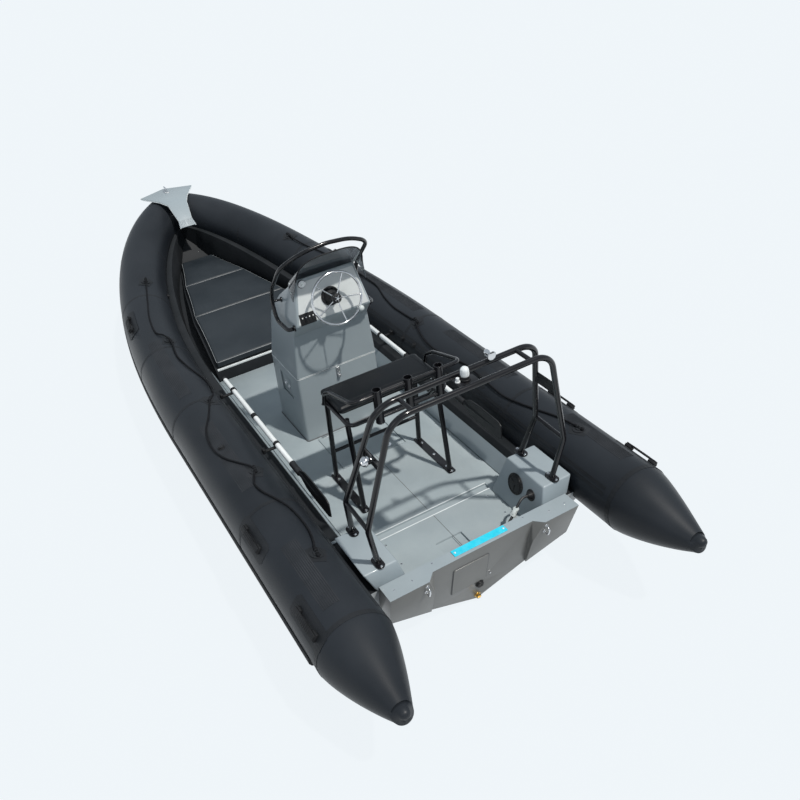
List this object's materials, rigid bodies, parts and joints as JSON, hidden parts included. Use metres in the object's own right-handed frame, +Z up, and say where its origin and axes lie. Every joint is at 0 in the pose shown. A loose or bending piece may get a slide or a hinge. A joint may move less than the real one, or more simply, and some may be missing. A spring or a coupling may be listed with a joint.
{
  "type": "rigid inflatable boat",
  "caption": "Open rigid-hull inflatable boat with a tube collar, centre helm console, leaning-post seat, stern arch and bow cushions.",
  "frame": {"origin": "on the static waterline, on the centre line, below the transom's top aft edge", "axes": "+X to the bow, +Y to port, +Z up"},
  "size_m": [6.3101, 2.2368, 1.7836],
  "materials": {
    "gelcoat_hull": "smooth pale grey gelcoat",
    "gelcoat_transom": "grey gelcoat on the transom",
    "gelcoat_deck": "blue-grey gelcoat with a moulded anti-slip texture",
    "gelcoat_console": "blue-grey gelcoat",
    "tube_fabric": "black coated fabric with a soft sheen",
    "rope": "black braided rope",
    "black_frame": "gloss black powder coating",
    "black_plastic": "black moulded plastic",
    "cable_jacket": "black cable jacket",
    "connector_grey": "pale grey moulded plastic",
    "cushion_vinyl": "charcoal vinyl",
    "stainless": "polished stainless steel",
    "brass": "cast brass",
    "oar_alloy": "white-coated tube",
    "cyan_pad": "bright cyan plastic",
    "smoked_screen": "smoked acrylic",
    "lens_clear": "clear lens"
  },
  "bodies": {
    "boat": {"rigid_hull": "gelcoat_hull", "transom": "gelcoat_transom", "deck": "gelcoat_deck", "inner_sides": "gelcoat_deck", "aft_side_boxes": "gelcoat_deck", "deck_hatch": "gelcoat_deck", "engine_pad": "cyan_pad", "inspection_cover": "black_plastic", "rigging_boot": "black_plastic", "engine_cable": "cable_jacket", "cable_connector": "connector_grey", "bilge_outlet": "black_plastic", "drain_plug": "brass", "transom_eyes": "stainless", "bow_eye": "stainless", "side_tube_port": "tube_fabric", "side_tube_starboard": "tube_fabric", "bow_tube_port": "tube_fabric", "bow_tube_starboard": "tube_fabric", "stern_cones": "tube_fabric", "rubbing_strakes": "tube_fabric", "lifelines": "rope", "lifeline_patches": "tube_fabric", "carry_handles": "black_plastic", "oar_shafts": "oar_alloy", "oar_blades": "black_plastic", "oar_clips": "black_plastic", "bow_plate": "gelcoat_deck", "bow_cleat": "stainless", "bow_locker": "gelcoat_deck", "bow_cushion_front": "cushion_vinyl", "bow_cushion_middle": "cushion_vinyl", "bow_cushion_rear": "cushion_vinyl", "console_base": "gelcoat_console", "side_panel": "gelcoat_console", "console_hasp": "stainless", "seat_frame": "black_frame", "seat_cushion": "cushion_vinyl", "rod_holders": "black_frame", "arch_front": "black_frame", "arch_rear": "black_frame", "arch_braces": "black_frame", "nav_light": "lens_clear", "horn": "stainless", "deck_lamp": "stainless"},
    "console_top": {"console_top": "gelcoat_console", "windscreen": "smoked_screen", "handrail": "black_frame", "switch_panel": "black_plastic", "compass": "stainless", "helm_bezel": "black_plastic"},
    "wheel": {"steering_wheel": "stainless"}
  },
  "joints": [
    {"name": "console_tilt", "type": "hinge", "parent": "boat", "child": "console_top", "pos_m": [2.176, 0, 0.658], "axis": [0, 1, 0], "range_deg": [0, 70]},
    {"name": "steering", "type": "hinge", "parent": "console_top", "child": "wheel", "pos_m": [1.55, 0, 1.237], "axis": [-0.976, 0, 0.2177], "range_deg": [-720, 720]}
  ]
}
